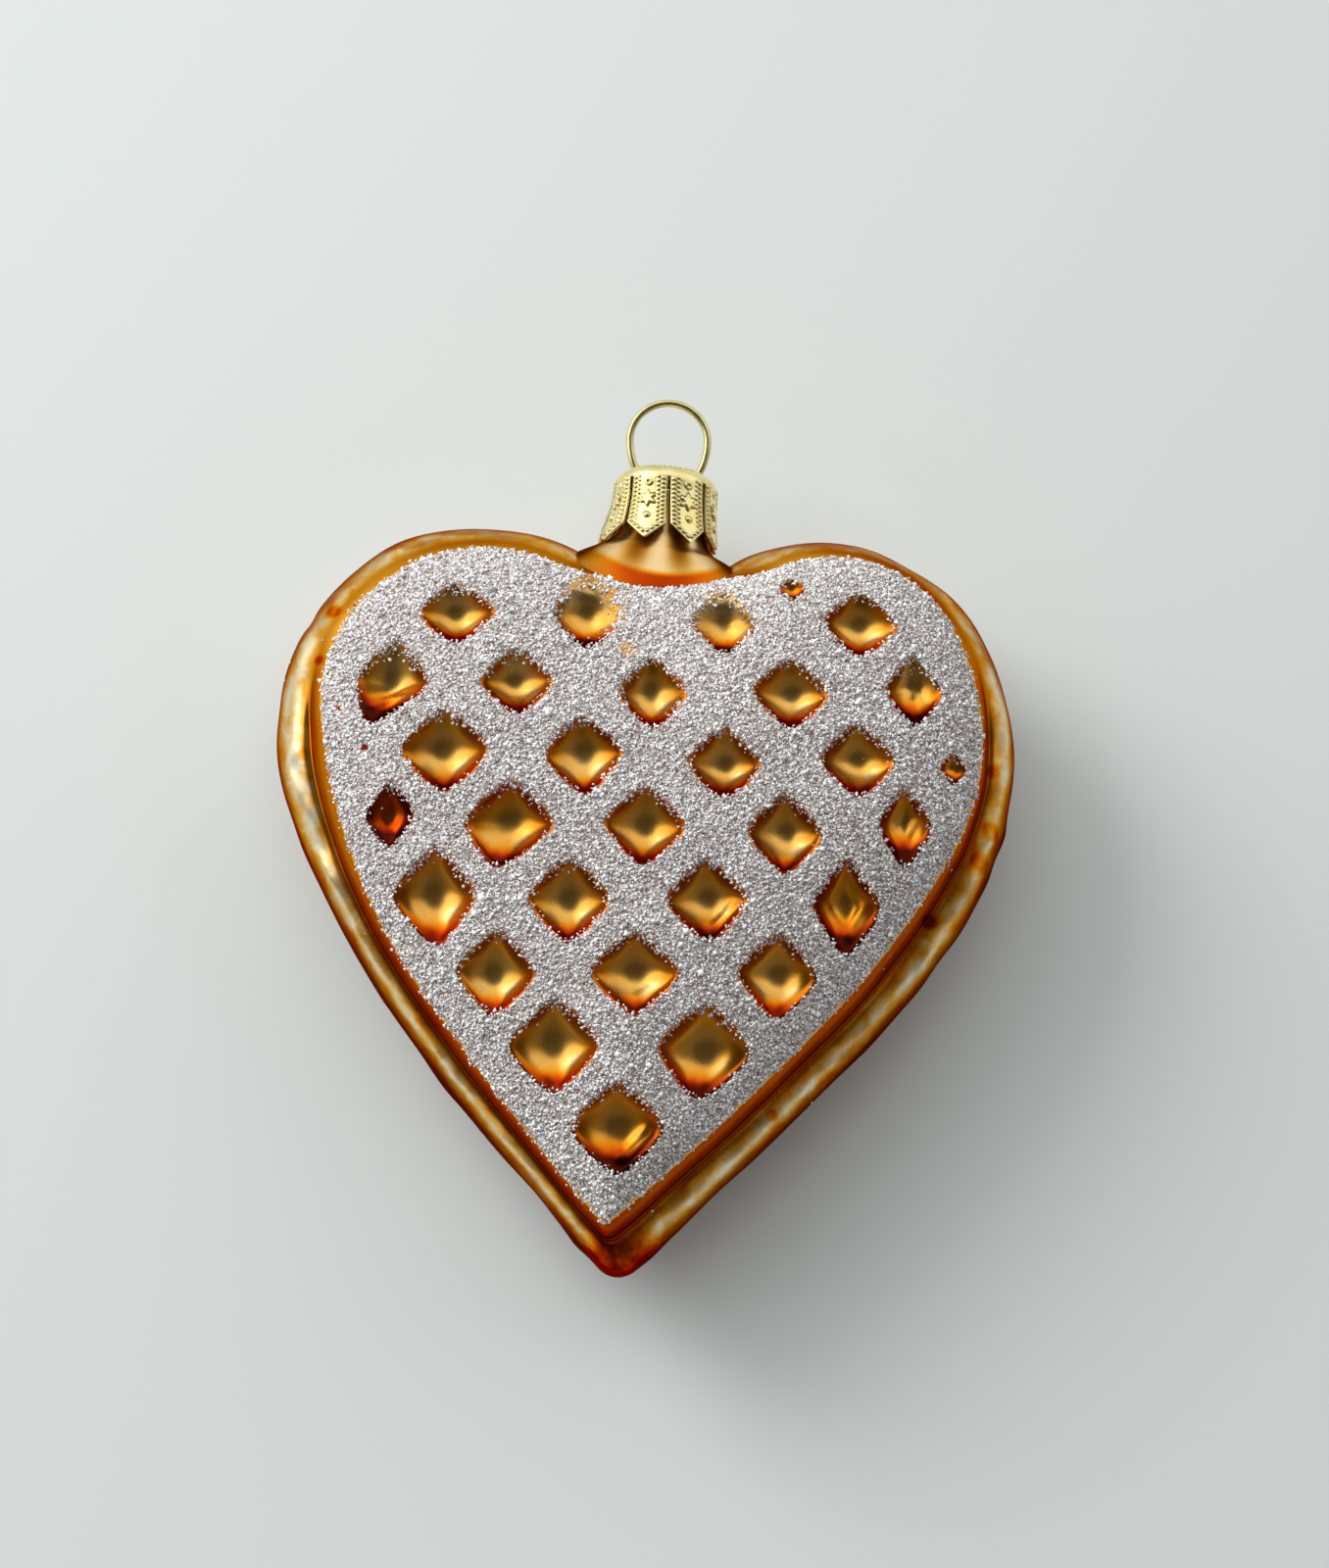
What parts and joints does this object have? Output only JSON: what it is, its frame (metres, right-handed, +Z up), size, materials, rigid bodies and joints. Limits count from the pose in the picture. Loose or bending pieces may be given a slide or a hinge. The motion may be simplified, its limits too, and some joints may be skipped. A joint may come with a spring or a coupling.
{
  "type": "hanging glass ornament in the shape of a sugared heart waffle",
  "caption": "Blown-glass hanging ornament shaped as a sugared heart waffle with square pockets on both faces, a stamped crown cap and a wire hanging loop.",
  "frame": {"origin": "on the surface that the ornament lies on, under the middle of its box", "axes": "+Z up out of the front face, +Y from the heart's tip towards the hanging loop, +X to the right as the front is seen"},
  "size_m": [0.0806, 0.097, 0.0274],
  "materials": {
    "lacquered_glass": "silvered inside, satin amber and golden brown lacquer outside",
    "sugar_glitter": "fine pale glitter grains bonded to the faces like sugar",
    "cap_brass": "thin stamped sheet, pale gold, beaded relief",
    "loop_wire": "drawn spring wire, pale gold"
  },
  "bodies": {
    "root": {"glass_waffle_heart": "lacquered_glass", "crown_cap": "cap_brass", "hanging_loop": "loop_wire"}
  },
  "joints": []
}
